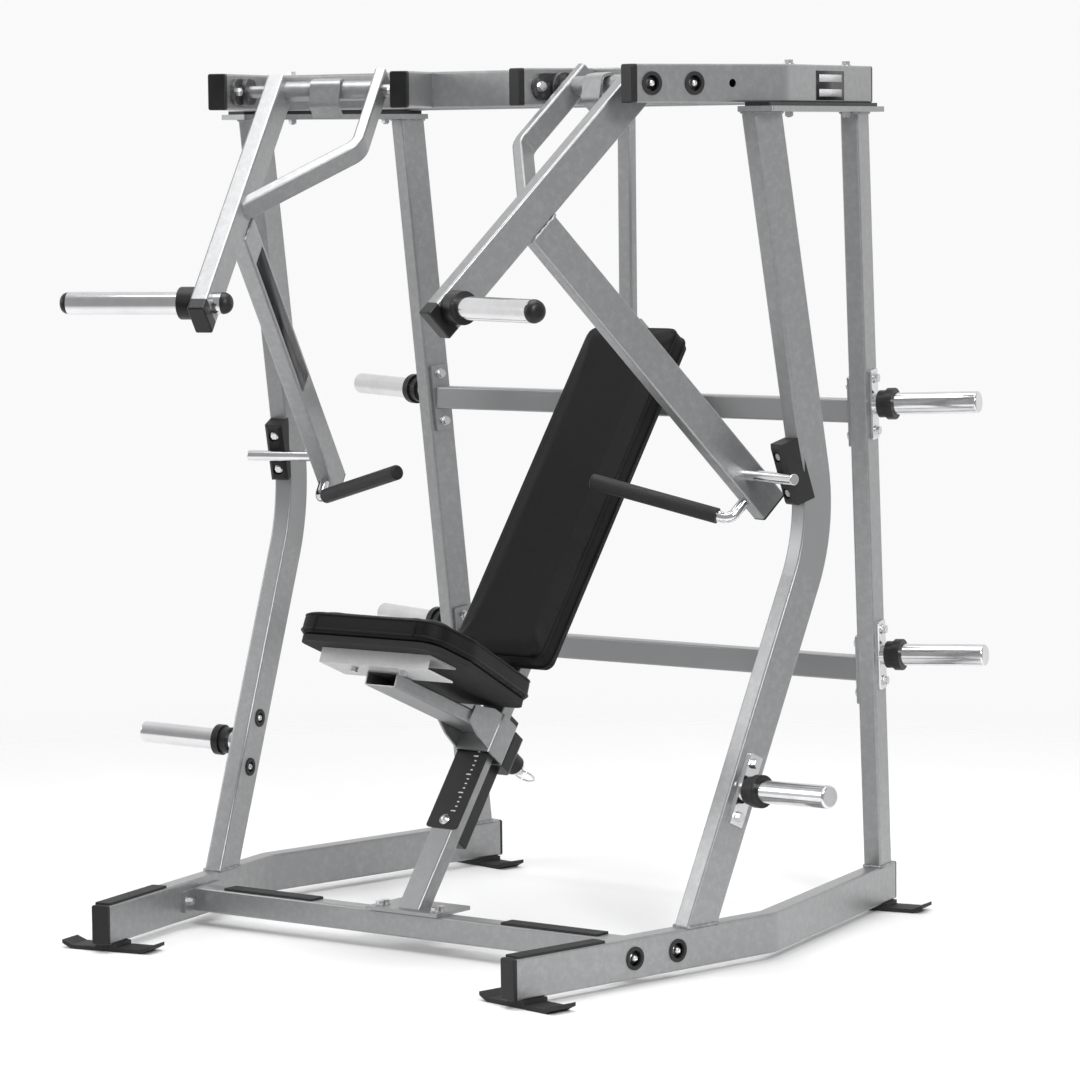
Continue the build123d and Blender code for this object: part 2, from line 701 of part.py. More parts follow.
bend_at = arm_point(*bar_bend)
grip_to = arm_point(*grip_end)
bar_drop = down_handle.cross(inboard)
bar_side = bar_drop if bar_drop.Z < 0 else -bar_drop
bar_from = bend_at - bar_side * ((bend_at - handle_from).dot(bar_side) - arm_d / 2)
grip_run = (grip_to - bend_at).normalized()
grip_from = bend_at + grip_run * 30
bar_plane = Plane(origin=bend_at, x_dir=bar_side, z_dir=bar_side.cross(grip_run))
bar_points = [
    tuple(bar_plane.to_local_coords(spot))[:2]
    for spot in (bar_from, bend_at, grip_to - grip_run * 8)
]
with BuildPart() as handle_bar:
    with BuildLine(bar_plane) as bar_path:
        FilletPolyline(*bar_points, radius=24)
    with BuildSketch(Plane(origin=bar_path.line @ 0, z_dir=bar_path.line % 0)):
        Circle(bar_r)
    sweep()
save_pair(handle_bar, "handle_bar")
with BuildPart() as grip:
    add(rod(grip_from, grip_to, grip_r, 0, 6).part)
    with BuildSketch(Plane(origin=grip_from, z_dir=grip_run)):
        Circle(bar_r + 0.05)
    extrude(amount=(grip_to - grip_from).length - 7.5, mode=Mode.SUBTRACT)
save_pair(grip, "grip")

# ---- spine, its base plate, scale, rack and the post above it
lean = radians(spine_lean)
along = Vector(0, sin(lean), cos(lean))
proud = Vector(0, -cos(lean), sin(lean))


def spine_point(w, v=0.0, x=0.0):
    """A point by distance w up the spine's front face and v in front of it."""
    return Vector(x, *spine_front) + along * w + proud * v


above_base = Plane(origin=(0, 0, front_bar_z[1] + base_t), z_dir=(0, 0, 1))
before_bar = Plane(origin=(0, rear_bar_y(upper_mid) - rear_bar_d / 2, 0), z_dir=(0, -1, 0))
spine_ends = (spine_point(-100, -spine_d / 2), spine_point(1600, -spine_d / 2))
spine_tube = straight_tube(*spine_ends, (1, 0, 0), spine_w, spine_d, (above_base, before_bar))
base_plane = Plane(origin=(0, bar_mid_y + 28, front_bar_z[1]), z_dir=up)
base_plate = drilled(plate(base_plane, 200, 126, base_t, 6, 0), base_holes)
with BuildPart() as spine:
    add(spine_tube.part)
    add(base_plate.part)
save(spine, "spine")

with BuildPart() as scale_plate:
    with BuildSketch(Plane(origin=spine_point(350), x_dir=(1, 0, 0), z_dir=proud)):
        RectangleRounded(scale_w, 270, 8)
    extrude(amount=scale_t)
save(scale_plate, "scale_plate")

hole_depth = 18.0
with BuildPart() as latch_rack:
    with BuildSketch(Plane(origin=spine_point(sum(rack_span) / 2, -spine_d), x_dir=(1, 0, 0), z_dir=-proud)):
        RectangleRounded(rack_w, rack_span[1] - rack_span[0], 4)
    extrude(amount=rack_t)
    for step in range(-5, 2):
        with BuildSketch(Plane(origin=spine_point(pull_w + 38 * step, -spine_d - rack_t), z_dir=proud)):
            Circle(pull_r + 0.5)
        extrude(amount=hole_depth, mode=Mode.SUBTRACT)
save(latch_rack, "latch_rack")

post_foot = 1366.0
bar_back = rear_bar_y(upper_mid) + rear_bar_d / 2
with BuildPart() as centre_post:
    add(straight_tube((0, post_y, post_foot), (0, post_y, beam_z), (1, 0, 0), post_w, post_d).part)
    with BuildSketch(Plane.YZ.offset(-post_w / 2)):
        with BuildLine():
            Polyline(
                (post_y - post_d / 2, post_foot),
                (1266, post_foot),
                (1334, 1316),
                (1334, 1298),
                (1318, 1262),
                (1318, 1150),
                (bar_back, 1150),
                (bar_back, 1266),
                (1324, 1300),
                (1324, 1310),
                (1262, post_foot - 8),
                (post_y - post_d / 2, post_foot - 8),
                close=True,
            )
        make_face()
    extrude(amount=post_w)
save(centre_post, "centre_post")

# ---- back pad on its board and brackets
bracket_w = (720.0, 1060.0, 1360.0)
bracket_t, board_face, pad_face = back_layers
back_mid = sum(back_span) / 2
back_length = back_span[1] - back_span[0]
brackets = [
    plate(Plane(origin=spine_point(w), x_dir=(1, 0, 0), z_dir=proud), 190, 60, bracket_t, 6, 0)
    for w in bracket_w
]
gather(brackets, "back_brackets", False)
board_plane = Plane(origin=spine_point(back_mid, bracket_t), x_dir=(1, 0, 0), z_dir=proud)
pad_plane = Plane(origin=spine_point(back_mid, board_face), x_dir=(1, 0, 0), z_dir=proud)
save(plate(board_plane, back_w - 14, back_length - 14, board_face - bracket_t, 20, 0), "back_board")
save(plate(pad_plane, back_w, back_length, pad_face - board_face, 26, 8), "back_pad")

# ---- seat: pad, board, folded channel, arm, carriage and its liners
tilt = radians(seat_tilt)
seat_run = Vector(0, cos(tilt), -sin(tilt))
seat_up = Vector(0, sin(tilt), cos(tilt))


def seat_point(q, n=0.0, x=0.0):
    """A point by distance q rearwards along the seat top and n above it."""
    return Vector(x, *seat_front) + seat_run * q + seat_up * n


def seat_plane(n):
    """The plane parallel to the seat top at n; local x is to the right, local y is forward."""
    return Plane(origin=seat_point(0, n), x_dir=(-1, 0, 0), z_dir=-seat_up)


def seat_outline(plane, inset, depth, edge):
    """The tapered seat shape, extruded down from a plane."""
    front = seat_half_front - inset
    rear = seat_half_rear - inset
    with BuildPart() as piece:
        with BuildSketch(plane):
            with BuildLine():
                FilletPolyline(
                    (front, inset),
                    (front, 150),
                    (rear, seat_length - inset),
                    (-rear, seat_length - inset),
                    (-front, 150),
                    (-front, inset),
                    radius=55 - inset,
                    close=True,
                )
            make_face()
        extrude(amount=depth)
        if edge:
            top = piece.faces().sort_by(Axis((0, 0, 0), tuple(seat_up)))[-1]
            fillet(top.edges(), edge)
    return piece


save(seat_outline(seat_plane(0), 0, seat_foam, 8), "seat_pad")
save(seat_outline(seat_plane(-seat_foam), 8, seat_board, 0), "seat_board")

channel_top = -seat_foam - seat_board
channel_low = channel_top - channel_h
channel_t = 4.0
q_front, q_rear = channel_at
with BuildPart() as seat_mount:
    with BuildSketch(Plane(origin=seat_point(0, 0, -channel_w / 2), x_dir=seat_run, z_dir=(1, 0, 0))):
        with BuildLine():
            Polyline(
                (q_rear, channel_top),
                (q_front, channel_top),
                (q_front, channel_low),
                (q_rear, channel_low),
                (q_rear, channel_low + channel_t),
                (q_front + channel_t, channel_low + channel_t),
                (q_front + channel_t, channel_top - channel_t),
                (q_rear, channel_top - channel_t),
                close=True,
            )
        make_face()
    extrude(amount=channel_w)
seat_spots = [seat_point(q_front + 24, channel_low, x) for x in (-68, 68)]
mount_holes = [(spot - seat_up, seat_up, clear_r, channel_t + 2) for spot in seat_spots]
save(drilled(seat_mount, mount_holes), "seat_mount")

arm_mid_n = channel_low - seat_arm_h / 2
v_low, v_high = carriage_v
arm_trim_plane = Plane(origin=spine_point(0, v_high), z_dir=proud)
seat_arm_ends = (seat_point(seat_arm_at, arm_mid_n), seat_point(700, arm_mid_n))
seat_arm = straight_tube(*seat_arm_ends, (1, 0, 0), seat_arm_w, seat_arm_h, (arm_trim_plane,))
w_low, w_high = carriage_span
sleeve_depth = v_high - v_low
sleeve_mid = (v_high + v_low) / 2


def sleeve_section(w):
    """The plane across the carriage with its origin at the sleeve's middle."""
    return Plane(origin=spine_point(w, sleeve_mid), x_dir=(1, 0, 0), z_dir=along)


side_t = 6.0
rack_slot = rack_w + 2 * slide_gap
gusset = ((14, 416), (14, 507), (48, 502), (112, 472), (112, 436), (60, 420))
sleeve_length = w_high - w_low
with BuildPart() as shell:
    with BuildSketch(sleeve_section(w_low)):
        RectangleRounded(carriage_w, sleeve_depth, 8)
        RectangleRounded(carriage_w - 2 * shell_t, sleeve_depth - 2 * shell_t, 4, mode=Mode.SUBTRACT)
        with Locations((0, sleeve_depth / 2)):
            Rectangle(rack_slot, 4 * shell_t, mode=Mode.SUBTRACT)
    extrude(amount=sleeve_length)
with BuildPart() as seat_carriage:
    add(shell.part)
    add(seat_arm.part)
    for x in (-seat_arm_w / 2 - side_t, seat_arm_w / 2):
        with BuildSketch(Plane(origin=spine_point(0, 0, x), x_dir=proud, z_dir=proud.cross(along))):
            with BuildLine():
                Polyline(*gusset, close=True)
            make_face()
        extrude(amount=-side_t if proud.cross(along).X < 0 else side_t)
save(seat_carriage, "seat_carriage")

with BuildPart() as liner_block:
    with BuildSketch(sleeve_section(w_low + 4)):
        RectangleRounded(carriage_w - 2 * shell_t, sleeve_depth - 2 * shell_t, 4)
    extrude(amount=sleeve_length - 8)
    for width, v_from, v_to in (
        (spine_w + 2 * slide_gap, -spine_d - slide_gap, slide_gap),
        (scale_w + 1, -1, scale_t + slide_gap),
        (rack_slot, v_low, -spine_d + 1),
    ):
        with BuildSketch(sleeve_section(w_low)):
            with Locations((0, sleeve_mid - (v_from + v_to) / 2)):
                Rectangle(width, v_to - v_from)
        extrude(amount=sleeve_length, mode=Mode.SUBTRACT)
save(liner_block, "slide_liners")

# ---- pull pin in its housing, a block behind the carriage that straddles the rack
housing_end = housing_face - 48
rack_back = -spine_d - rack_t - slide_gap
with BuildPart() as housing_block:
    with BuildSketch(sleeve_section(w_low + 4)):
        with Locations((0, sleeve_mid - (v_low + housing_face) / 2)):
            RectangleRounded(housing_w, v_low - housing_face, 14)
        with Locations((0, sleeve_mid - (v_low + rack_back) / 2)):
            Rectangle(rack_slot, v_low - rack_back, mode=Mode.SUBTRACT)
    extrude(amount=sleeve_length - 8)
block_bore = (spine_point(pull_w, housing_face - 1), proud, pull_r + running_gap, rack_back - housing_face + 2)
housing_block = drilled(housing_block, [block_bore])
neck_end = spine_point(pull_w, housing_end)
with BuildPart() as pin_housing:
    add(housing_block.part)
    add(rod(spine_point(pull_w, housing_face), neck_end, 24, pull_r + running_gap, 3).part)
save(pin_housing, "pin_housing")
with BuildPart() as pull_pin:
    add(rod(spine_point(pull_w, -spine_d - rack_t - 0.6), spine_point(pull_w, housing_end - 28), pull_r).part)
    add(rod(spine_point(pull_w, housing_end - 1), spine_point(pull_w, housing_end - 14), 17, 0, 3).part)
    with BuildSketch(Plane(origin=spine_point(pull_w, housing_end - 20, -20), z_dir=(1, 0, 0))):
        Circle(3.8)
    extrude(amount=40, mode=Mode.SUBTRACT)
save(pull_pin, "pull_pin")
ring_r = 24.0
ring_at = spine_point(pull_w, housing_end - 20 - ring_r)
with BuildPart() as pull_ring:
    with BuildSketch(Plane(origin=ring_at + proud * ring_r, x_dir=proud, z_dir=along.cross(proud))):
        Circle(2)
    revolve(axis=Axis(tuple(ring_at), tuple(along)))
save(pull_ring, "pull_ring")

# ---- bolts and grommets
seat_bolts = [bolt(spot, -seat_up, channel_t + 8, 5, False) for spot in seat_spots]
gather(seat_bolts, "seat_bolts", False)
top_bolts = [bolt(spot + up * beam_top, up, grip_top) for spot in through]
base_bolts = []
for x in (-base_bolt_x, base_bolt_x):
    for y in base_bolt_y:
        base_bolts.append(bolt(Vector(x, y, front_bar_z[1] + base_t), up, base_t + wall))
paired = rail_bolts + front_horn[2] + upper_horn[2] + lower_horn[2] + upper_bolts + lower_bolts
paired += top_bolts + bearing_bolts + block_bolts
with BuildPart() as frame_bolts:
    for piece in paired:
        add(piece.part)
    mirror(frame_bolts.part, about=Plane.YZ)
    for piece in base_bolts:
        add(piece.part)
save(frame_bolts, "frame_bolts")
gather(rail_rings + beam_rings + upright_rings, "hole_grommets")
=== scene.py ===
"""Looks for the chest press: materials, sewn pads, scale marks, plates, weld beads and studio."""

import json
import math

import bmesh
import bpy
from mathutils import Matrix, Vector


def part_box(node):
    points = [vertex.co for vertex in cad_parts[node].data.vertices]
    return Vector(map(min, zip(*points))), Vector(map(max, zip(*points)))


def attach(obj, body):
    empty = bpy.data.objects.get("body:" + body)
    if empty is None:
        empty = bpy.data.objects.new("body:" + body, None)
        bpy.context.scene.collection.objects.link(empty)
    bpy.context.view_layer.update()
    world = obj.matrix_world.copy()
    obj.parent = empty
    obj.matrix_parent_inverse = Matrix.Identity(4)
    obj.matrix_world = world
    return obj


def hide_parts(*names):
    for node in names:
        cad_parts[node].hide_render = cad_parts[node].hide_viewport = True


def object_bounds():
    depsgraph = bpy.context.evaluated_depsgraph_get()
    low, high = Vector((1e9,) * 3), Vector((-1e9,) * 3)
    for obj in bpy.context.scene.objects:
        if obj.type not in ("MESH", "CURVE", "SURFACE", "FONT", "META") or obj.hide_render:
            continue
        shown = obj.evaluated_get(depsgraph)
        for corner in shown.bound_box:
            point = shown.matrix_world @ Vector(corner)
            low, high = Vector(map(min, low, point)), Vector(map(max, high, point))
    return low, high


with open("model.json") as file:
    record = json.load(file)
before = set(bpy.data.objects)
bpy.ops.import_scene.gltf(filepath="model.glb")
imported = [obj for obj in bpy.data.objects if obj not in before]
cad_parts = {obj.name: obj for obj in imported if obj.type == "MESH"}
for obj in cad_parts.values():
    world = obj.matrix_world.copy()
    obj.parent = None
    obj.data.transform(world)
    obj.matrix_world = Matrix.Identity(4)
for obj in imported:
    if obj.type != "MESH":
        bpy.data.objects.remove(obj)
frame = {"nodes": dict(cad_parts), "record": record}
cad_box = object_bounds()
nodes = frame["nodes"]


# ---------------------------------------------------------------- node helpers
def new_material(name):
    """A material with its node tree, Principled shader and object coordinates."""
    made = bpy.data.materials.new(name)
    made.use_nodes = True
    tree = made.node_tree
    shader = tree.nodes["Principled BSDF"]
    coords = tree.nodes.new("ShaderNodeTexCoord").outputs["Object"]
    return made, tree, shader, coords


def noise(tree, coords, scale, detail=4.0, rough=0.5, stretch=None):
    """A noise value over object space, optionally stretched along an axis."""
    if stretch:
        mapping = tree.nodes.new("ShaderNodeMapping")
        mapping.inputs["Scale"].default_value = stretch
        tree.links.new(coords, mapping.inputs["Vector"])
        coords = mapping.outputs["Vector"]
    node = tree.nodes.new("ShaderNodeTexNoise")
    node.inputs["Scale"].default_value = scale
    node.inputs["Detail"].default_value = detail
    node.inputs["Roughness"].default_value = rough
    tree.links.new(coords, node.inputs["Vector"])
    return node.outputs["Fac"]


def remap(tree, value, low, high, to_low, to_high):
    """Map a value range onto another, clamped."""
    node = tree.nodes.new("ShaderNodeMapRange")
    for key, number in (("From Min", low), ("From Max", high), ("To Min", to_low), ("To Max", to_high)):
        node.inputs[key].default_value = number
    tree.links.new(value, node.inputs["Value"])
    return node.outputs["Result"]


def mix_colour(tree, factor, first, second):
    """Blend two colours, each a tuple or a socket."""
    node = tree.nodes.new("ShaderNodeMix")
    node.data_type = "RGBA"
    tree.links.new(factor, node.inputs["Factor"])
    for key, colour in ((6, first), (7, second)):
        if isinstance(colour, tuple):
            node.inputs[key].default_value = (*colour, 1)
        else:
            tree.links.new(colour, node.inputs[key])
    return node.outputs[2]


def add_bump(tree, shader, heights):
    """Chain bump nodes, each a height socket with a strength and distance in metres."""
    normal = None
    for height, strength, distance in heights:
        node = tree.nodes.new("ShaderNodeBump")
        node.inputs["Strength"].default_value = strength
        node.inputs["Distance"].default_value = distance
        tree.links.new(height, node.inputs["Height"])
        if normal:
            tree.links.new(normal, node.inputs["Normal"])
        normal = node.outputs["Normal"]
    tree.links.new(normal, shader.inputs["Normal"])


def edge_mask(tree, low=0.51, high=0.56):
    """White along convex edges, from the surface's own pointiness."""
    geometry = tree.nodes.new("ShaderNodeNewGeometry")
    return remap(tree, geometry.outputs["Pointiness"], low, high, 0, 1)


def painted(name, colour, metallic, rough, wear=(0.75, 0.75, 0.76), wear_amount=0.35, coat=0.25):
    """Powder or metallic paint: fine flake with painted glints, slight orange peel, tone drifting in
    patches and worn edges.
    """
    made, tree, shader, coords = new_material(name)
    patches = noise(tree, coords, 2.2, 3, 0.5)
    flake_and_glint = noise(tree, coords, 900, 2, 0.5)
    dark = tuple(c * 0.97 for c in colour)
    light = tuple(min(1, c * 1.02) for c in colour)
    base = mix_colour(tree, remap(tree, patches, 0.3, 0.7, 0, 1), dark, light)
    # Painted glints: random flecks of the paint are painted brighter, standing in for light sparkling off
    # the flakes.
    painted_glint = tuple(min(1, c * 1.4) for c in colour)
    with_painted_glints = mix_colour(tree, remap(tree, flake_and_glint, 0.58, 0.75, 0, 0.14), base, painted_glint)
    scuffs = noise(tree, coords, 60, 6, 0.7)
    node = tree.nodes.new("ShaderNodeMath")
    node.operation = "MULTIPLY"
    tree.links.new(edge_mask(tree), node.inputs[0])
    tree.links.new(remap(tree, scuffs, 0.45, 0.7, 0, wear_amount), node.inputs[1])
    final = mix_colour(tree, node.outputs[0], with_painted_glints, wear)
    tree.links.new(final, shader.inputs["Base Color"])
    tree.links.new(remap(tree, patches, 0.3, 0.7, rough - 0.01, rough + 0.015), shader.inputs["Roughness"])
    shader.inputs["Metallic"].default_value = metallic
    shader.inputs["Coat Weight"].default_value = coat
    shader.inputs["Coat Roughness"].default_value = 0.25
    peel = noise(tree, coords, 240, 3, 0.5)
    add_bump(tree, shader, [(peel, 0.015, 0.0003), (flake_and_glint, 0.006, 0.0001)])
    return made


def bright(name, colour, rough, brushed=None):
    """Bare or plated metal with fine scratches, haze patches and optional brushing direction."""
    made, tree, shader, coords = new_material(name)
    haze = noise(tree, coords, 14, 5, 0.6)
    scratch = noise(tree, coords, 500, 3, 0.6, brushed or (1, 1, 14))
    base = mix_colour(tree, remap(tree, haze, 0.35, 0.7, 0, 1), colour, tuple(c * 0.86 for c in colour))
    tree.links.new(base, shader.inputs["Base Color"])
    shader.inputs["Metallic"].default_value = 1.0
    node = tree.nodes.new("ShaderNodeMath")
    node.operation = "ADD"
    tree.links.new(remap(tree, haze, 0.3, 0.75, rough, rough + 0.09), node.inputs[0])
    tree.links.new(remap(tree, scratch, 0.5, 0.75, 0, 0.06), node.inputs[1])
    tree.links.new(node.outputs[0], shader.inputs["Roughness"])
    add_bump(tree, shader, [(scratch, 0.06, 0.0002)])
    return made


def polymer(name, colour, rough, grain, strength, speckle=0.15, cells=None):
    """Moulded plastic or rubber with grain, chalky patches and an optional coarse cell pattern."""
    made, tree, shader, coords = new_material(name)
    patches = noise(tree, coords, 12, 5, 0.6)
    fine = noise(tree, coords, grain, 3, 0.6)
    lighter = tuple(min(1, c + 0.006 + c * speckle) for c in colour)
    base = mix_colour(tree, remap(tree, patches, 0.35, 0.75, 0, 1), colour, lighter)
    rubbed = tuple(c + 0.03 for c in colour)
    worn = mix_colour(tree, remap(tree, edge_mask(tree), 0, 1, 0, 0.3), base, rubbed)
    tree.links.new(worn, shader.inputs["Base Color"])
    tree.links.new(remap(tree, patches, 0.3, 0.7, rough - 0.06, rough + 0.08), shader.inputs["Roughness"])
    shader.inputs["Specular IOR Level"].default_value = 0.3
    heights = [(fine, strength, 0.0005)]
    if cells:
        weave = tree.nodes.new("ShaderNodeTexVoronoi")
        weave.inputs["Scale"].default_value = cells
        tree.links.new(coords, weave.inputs["Vector"])
        heights.append((weave.outputs["Distance"], 0.5, 0.0012))
    add_bump(tree, shader, heights)
    return made


def vinyl(name, colour, rough):
    """Grained upholstery vinyl with painted shade in the grain's pits, creases and a soft sheen."""
    made, tree, shader, coords = new_material(name)
    cells = tree.nodes.new("ShaderNodeTexVoronoi")
    cells.feature = "DISTANCE_TO_EDGE"
    cells.inputs["Scale"].default_value = 620
    tree.links.new(coords, cells.inputs["Vector"])
    pits_and_painted_shade = remap(tree, cells.outputs["Distance"], 0, 0.25, 0, 1)
    folds = noise(tree, coords, 26, 4, 0.55)
    patches = noise(tree, coords, 6, 5, 0.6)
    faded = tuple(c * 1.6 + 0.0015 for c in colour)
    base = mix_colour(tree, remap(tree, patches, 0.35, 0.7, 0, 1), colour, faded)
    # Painted shade: the grain's pits, where the bump sinks, are painted darker, half way towards 0.4 of the
    # colour at the cell edges.
    with_painted_pit_shade = mix_colour(tree, remap(tree, pits_and_painted_shade, 0, 1, 0.5, 0), base, tuple(c * 0.4 for c in colour))
    tree.links.new(with_painted_pit_shade, shader.inputs["Base Color"])
    tree.links.new(remap(tree, patches, 0.3, 0.7, rough - 0.05, rough + 0.08), shader.inputs["Roughness"])
    shader.inputs["Sheen Weight"].default_value = 0.012
    shader.inputs["Specular IOR Level"].default_value = 0.14
    shader.inputs["Sheen Roughness"].default_value = 0.4
    add_bump(tree, shader, [(pits_and_painted_shade, 0.28, 0.0005), (folds, 0.22, 0.004)])
    return made


silver = painted("silver_metallic_paint", (0.30, 0.303, 0.307), 0.75, 0.37, wear_amount=0.12, coat=0.12)
light_grey = painted("light_grey_paint", (0.50, 0.50, 0.503), 0.1, 0.42, wear_amount=0.2, coat=0.1)
bearing_black = painted("bearing_black", (0.02, 0.02, 0.022), 0.2, 0.4, (0.3, 0.3, 0.3), 0.4)
chrome = bright("chrome_plate", (0.72, 0.72, 0.73), 0.07)
zinc = bright("zinc_plate", (0.66, 0.66, 0.67), 0.26, (1, 1, 1))
plastic = polymer("black_plastic", (0.006, 0.006, 0.0065), 0.38, 700, 0.12)
rubber = polymer("black_rubber", (0.008, 0.008, 0.008), 0.6, 380, 0.3)
grip_rubber = polymer("grip_rubber", (0.006, 0.006, 0.0065), 0.5, 500, 0.25, 0.15, 330)
board_skin = polymer("black_backing_cloth", (0.006, 0.006, 0.006), 0.8, 1400, 0.5)
pad_vinyl = vinyl("black_vinyl", (0.0032, 0.0032, 0.0035), 0.5)
piping_vinyl = vinyl("piping_vinyl", (0.006, 0.006, 0.0065), 0.42)
mark_white = polymer("pale_marks", (0.62, 0.62, 0.62), 0.5, 500, 0.1)
decal_grey = polymer("dark_label", (0.010, 0.010, 0.013), 0.3, 500, 0.06)
weld_paint = painted("weld_bead_paint", (0.24, 0.243, 0.247), 0.6, 0.45)

by_slot = {
    "silver_paint": silver,
    "chrome": chrome,
    "black_plastic": plastic,
    "black_rubber": rubber,
    "grip_rubber": grip_rubber,
    "zinc_steel": zinc,
    "dark_iron": bearing_black,
    "upholstery": pad_vinyl,
    "board": board_skin,
    "light_grey": light_grey,
    "scale_black": plastic,
}
for part in frame["record"]["subparts"]:
    mesh = nodes[part["node"]].data
    mesh.materials.clear()
    mesh.materials.append(by_slot[part["material_slot"]])


# ---------------------------------------------------------------- mesh helpers
def add_object(name, mesh, material, body):
    """Link a mesh as a new piece that rides on a CAD body."""
    made = bpy.data.objects.new(name, mesh)
    bpy.context.scene.collection.objects.link(made)
    mesh.materials.append(material)
    for face in mesh.polygons:
        face.use_smooth = True
    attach(made, body)


def tube_mesh(name, path, radius, closed=False, sides=10):
    """A round tube along points."""
    grid = bmesh.new()
    rings = []
    count = len(path)
    for i, point in enumerate(path):
        before = path[i - 1] if closed or i else path[i]
        after = path[(i + 1) % count] if closed or i < count - 1 else path[i]
        run = (after - before).normalized()
        side = run.orthogonal() if not rings else side - run * side.dot(run)
        side.normalize()
        other = run.cross(side)
        turns = [2 * math.pi * k / sides for k in range(sides)]
        spokes = [(side * math.cos(a) + other * math.sin(a)) * radius for a in turns]
        rings.append([grid.verts.new(point + spoke) for spoke in spokes])
    last = count if closed else count - 1
    for i in range(last):
        here, there = rings[i], rings[(i + 1) % count]
        if closed and i == count - 1:
            shift = min(range(sides), key=lambda k: (there[k].co - here[0].co).length)
            there = there[shift:] + there[:shift]
        for k in range(sides):
            grid.faces.new((here[k], here[(k + 1) % sides], there[(k + 1) % sides], there[k]))
    if not closed:
        grid.faces.new(rings[0][::-1])
        grid.faces.new(rings[-1])
    mesh = bpy.data.meshes.new(name)
    bmesh.ops.recalc_face_normals(grid, faces=grid.faces)
    grid.to_mesh(mesh)
    grid.free()
    return mesh


def box_mesh(name, matrix, size, ease):
    """A small eased block placed by a matrix."""
    grid = bmesh.new()
    bmesh.ops.create_cube(grid, size=1)
    bmesh.ops.scale(grid, vec=size, verts=grid.verts)
    bmesh.ops.bevel(grid, geom=grid.edges[:], offset=ease, segments=2, affect="EDGES")
    bmesh.ops.transform(grid, matrix=matrix, verts=grid.verts)
    mesh = bpy.data.meshes.new(name)
    grid.to_mesh(mesh)
    grid.free()
    return mesh


def basis(origin, across, along, out):
    """A matrix with columns across, along and out at an origin."""
    made = Matrix((across, along, out)).transposed().to_4x4()
    made.translation = origin
    return made


# ---------------------------------------------------------------- pads
x_axis = Vector((1, 0, 0))
z_axis = Vector((0, 0, 1))
lean = math.radians(37.7)
tilt = math.radians(22.5)
spine_up = Vector((0, math.sin(lean), math.cos(lean)))
spine_out = Vector((0, -math.cos(lean), math.sin(lean)))
seat_back = Vector((0, math.cos(tilt), -math.sin(tilt)))
seat_up = Vector((0, math.sin(tilt), math.cos(tilt)))


def extent(node, direction):
    """Lowest and highest reach of a CAD node along a direction."""
    reach = [v.co.dot(direction) for v in nodes[node].data.vertices]
    return min(reach), max(reach)


board_grip = 0.008
seam_hold = 0.85
seam_depth = 0.014
seam_width = 0.006
pad_voxel = 0.0055
pad_shrink = 0.003
pad_travel = 0.007
pad_pressure = 4
cloth_frames = 20


def inflate(node, name, up, material):
    """Copy a CAD pad, remesh it, blow it up as cloth held at its seams and return the new piece."""
    mesh = nodes[node].data.copy()
    mesh.name = name
    made = bpy.data.objects.new(name, mesh)
    bpy.context.scene.collection.objects.link(made)
    mesh.materials.clear()
    mesh.materials.append(material)
    bpy.context.view_layer.objects.active = made
    shrink = made.modifiers.new("shrink", "DISPLACE")
    shrink.strength = -pad_shrink
    shrink.mid_level = 0
    weld = made.modifiers.new("weld", "WELD")
    weld.merge_threshold = 0.0002
    made.modifiers.move(1, 0)
    voxels = made.modifiers.new("voxels", "REMESH")
    voxels.mode = "VOXEL"
    voxels.voxel_size = pad_voxel
    with bpy.context.temp_override(object=made, active_object=made):
        for key in ("weld", "shrink", "voxels"):
            bpy.ops.object.modifier_apply(modifier=key)
    mesh = made.data
    low, high = extent(node, up)
    rest = [v.co.copy() for v in mesh.vertices]
    group = made.vertex_groups.new(name="pins")
    for i, co in enumerate(rest):
        weight = seam_pins(co.dot(up) - low, high - co.dot(up))
        if weight > 0:
            group.add([i], weight, "REPLACE")
    cloth = made.modifiers.new("cloth", "CLOTH")
    cloth.settings.quality = 5
    cloth.settings.mass = 0.3
    cloth.settings.use_pressure = True
    cloth.settings.uniform_pressure_force = pad_pressure
    cloth.settings.vertex_group_mass = "pins"
    cloth.settings.pin_stiffness = 2
    cloth.settings.tension_stiffness = 12
    cloth.settings.compression_stiffness = 12
    cloth.settings.bending_stiffness = 0.5
    cloth.settings.effector_weights.gravity = 0
    cloth.collision_settings.use_collision = False
    for step in range(1, cloth_frames + 1):
        bpy.context.scene.frame_set(step)
    shaped = made.evaluated_get(bpy.context.evaluated_depsgraph_get()).data
    moved = [v.co.copy() for v in shaped.vertices]
    made.modifiers.remove(cloth)
    bpy.context.scene.frame_set(1)
    for vertex, start, end in zip(mesh.vertices, rest, moved):
        travel = end - start
        if travel.length > pad_travel:
            travel *= pad_travel / travel.length
        vertex.co = start + travel
    bpy.context.view_layer.objects.active = made
    smooth = made.modifiers.new("smooth", "SMOOTH")
    smooth.iterations = 10
    smooth.factor = 0.5
    finer = made.modifiers.new("finer", "SUBSURF")
    finer.levels = finer.render_levels = 1
    with bpy.context.temp_override(object=made, active_object=made):
        bpy.ops.object.modifier_apply(modifier="smooth")
        bpy.ops.object.modifier_apply(modifier="finer")
    for face in made.data.polygons:
        face.use_smooth = True
    return made


def band(value, centre, width):
    """1 at a centre, falling to 0 at a width away."""
    return max(0.0, 1 - abs(value - centre) / width)


def seam_pins(above, below):
    """How firmly a pad's row is held, by its board at the back and by the seam under its top panel."""
    if above < board_grip:
        return 1.0
    return seam_hold * band(below, seam_depth, seam_width)


skin_slab = 0.004
least_gap = 0.6


